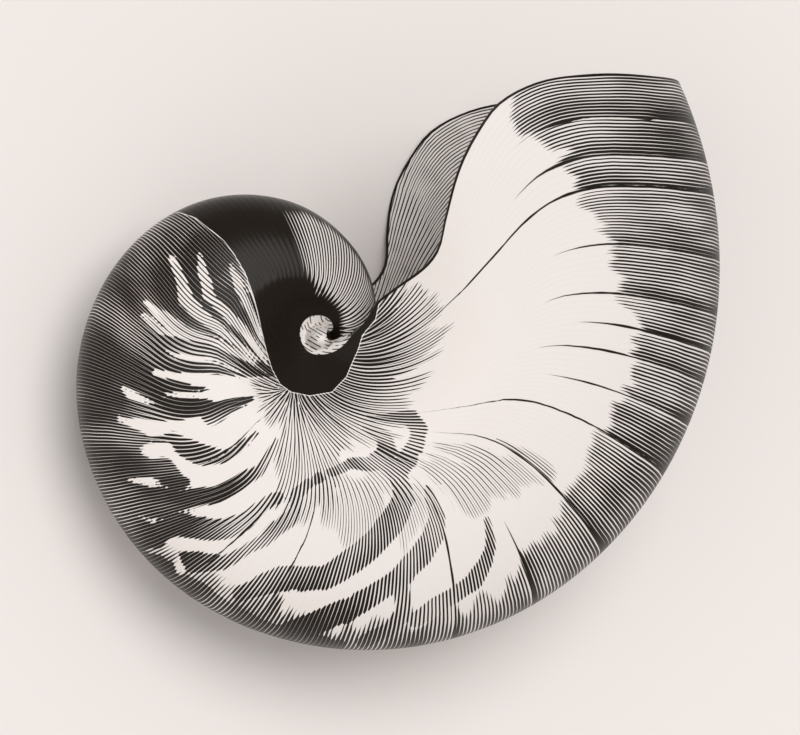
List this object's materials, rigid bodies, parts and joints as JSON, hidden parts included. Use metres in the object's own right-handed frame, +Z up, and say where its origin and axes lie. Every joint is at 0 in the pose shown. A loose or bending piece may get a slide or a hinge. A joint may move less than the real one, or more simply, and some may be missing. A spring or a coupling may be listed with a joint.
{
  "type": "nautilus shell",
  "caption": "Whole nautilus shell lying on one flank: a tightly coiled spiral whose last whorl opens in a wide mouth with a hollow living chamber behind it.",
  "frame": {"origin": "middle of the bounding box, on the surface that the shell lies on", "axes": "+X across the picture to the right, towards the front of the last whorl; +Y up the picture, towards the mouth; +Z up, away from the surface. The coil axis leans 12.9 degrees from +Z"},
  "size_m": [0.1724, 0.1548, 0.09],
  "materials": {
    "shell": "smooth and softly glossy, pale with dark brown flame stripes, black film by the mouth and pearly nacre inside"
  },
  "bodies": {
    "root": {"shell": "shell"}
  },
  "joints": []
}
